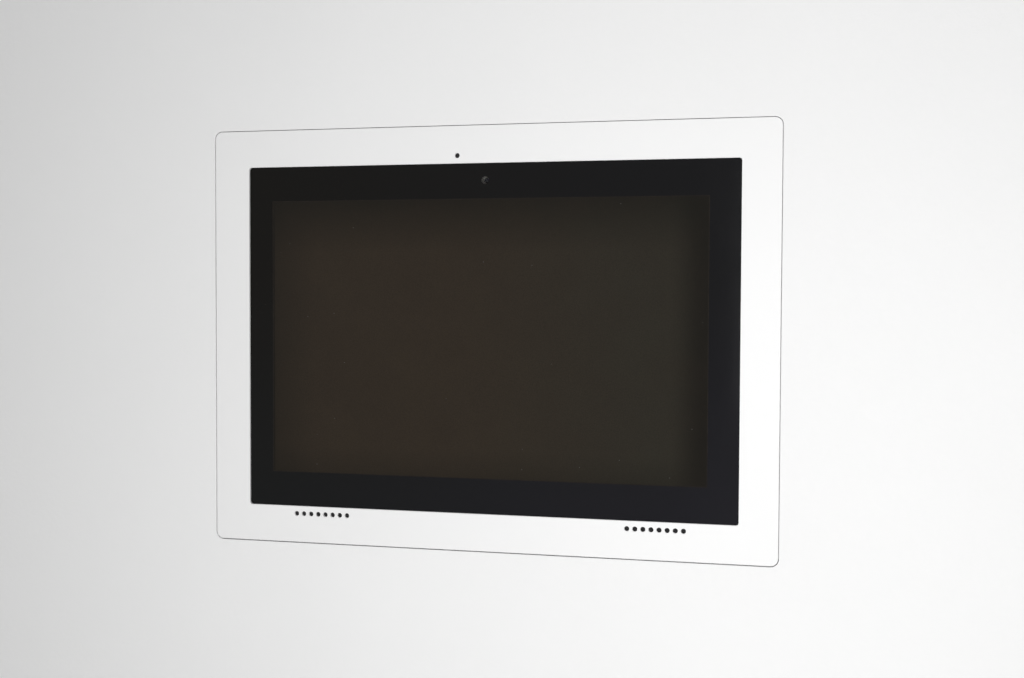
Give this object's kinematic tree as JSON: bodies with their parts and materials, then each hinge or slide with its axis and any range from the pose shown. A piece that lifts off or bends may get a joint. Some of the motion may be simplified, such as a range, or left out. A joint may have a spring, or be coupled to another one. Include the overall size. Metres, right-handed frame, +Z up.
{
  "type": "tablet wall mount",
  "caption": "Flush in-wall tablet mount: white magnetic cover over a trim ring and back box, with the tablet seated on a carrier plate behind its window.",
  "frame": {"origin": "centre of the back box's rear face, the face that is fixed to the wall", "axes": "+X to the right seen from the front, +Y into the wall, +Z up"},
  "size_m": [0.323, 0.03, 0.2488],
  "materials": {
    "white_coat": "satin white powder coat on sheet steel",
    "zinc_steel": "galvanised sheet steel",
    "bright_steel": "bright zinc plated steel",
    "nickel": "nickel plated",
    "black_mesh": "black woven acoustic mesh",
    "black_rubber": "matte black rubber",
    "pad_fibre": "black hook and loop pad",
    "cover_glass": "black printed touch glass, polished",
    "panel_backing": "display stack, switched off",
    "chassis_metal": "cast magnesium tray, blasted",
    "shell_plastic": "fine matte black moulding",
    "cell_wrap": "silver grey cell wrap",
    "board_laminate": "green circuit board laminate",
    "lens_black": "gloss black moulding"
  },
  "bodies": {
    "housing": {"trim_ring": "white_coat", "cover_magnet_1": "nickel", "cover_magnet_2": "nickel", "cover_magnet_3": "nickel", "cover_magnet_4": "nickel", "cover_magnet_5": "nickel", "cover_magnet_6": "nickel", "cover_magnet_7": "nickel", "cover_magnet_8": "nickel", "frame_screw_1": "bright_steel", "frame_screw_2": "bright_steel", "frame_screw_3": "bright_steel", "frame_screw_4": "bright_steel", "frame_screw_5": "bright_steel", "frame_screw_6": "bright_steel", "frame_screw_7": "bright_steel", "frame_screw_8": "bright_steel", "back_box": "zinc_steel", "cable_grommet": "black_rubber", "carrier_plate": "zinc_steel", "fastening_pad_left": "pad_fibre", "fastening_pad_centre": "pad_fibre", "fastening_pad_right": "pad_fibre", "standoff_1": "nickel", "standoff_2": "nickel", "standoff_3": "nickel", "standoff_4": "nickel", "carrier_screw_1": "bright_steel", "carrier_screw_2": "bright_steel", "carrier_screw_3": "bright_steel", "carrier_screw_4": "bright_steel", "tablet_glass": "cover_glass", "display_panel": "panel_backing", "tablet_chassis": "chassis_metal", "tablet_back_shell": "shell_plastic", "battery_pack": "cell_wrap", "main_board": "board_laminate", "tablet_speaker_left": "lens_black", "tablet_speaker_right": "lens_black", "usb_port": "bright_steel", "front_camera": "lens_black", "rear_camera": "lens_black"},
    "cover": {"front_cover": "white_coat", "speaker_mesh_left": "black_mesh", "speaker_mesh_right": "black_mesh", "microphone_mesh": "black_mesh"},
    "power_button": {"power_button": "shell_plastic"},
    "volume_rocker": {"volume_rocker": "shell_plastic"}
  },
  "joints": [
    {"name": "cover_pull_off", "type": "slide", "parent": "housing", "child": "cover", "axis": [0, -1, 0], "range_m": [0, 0.06]},
    {"name": "power_button_press", "type": "slide", "parent": "housing", "child": "power_button", "axis": [0, 0, -1], "range_m": [0, 0.0004], "stiffness_N_per_m": 2000},
    {"name": "volume_rocker_tilt", "type": "hinge", "parent": "housing", "child": "volume_rocker", "pos_m": [-0.0715, -0.0226, 0.0833], "axis": [0, 1, 0], "range_deg": [-1.2, 1.2], "stiffness_Nm_per_rad": 0.5}
  ]
}
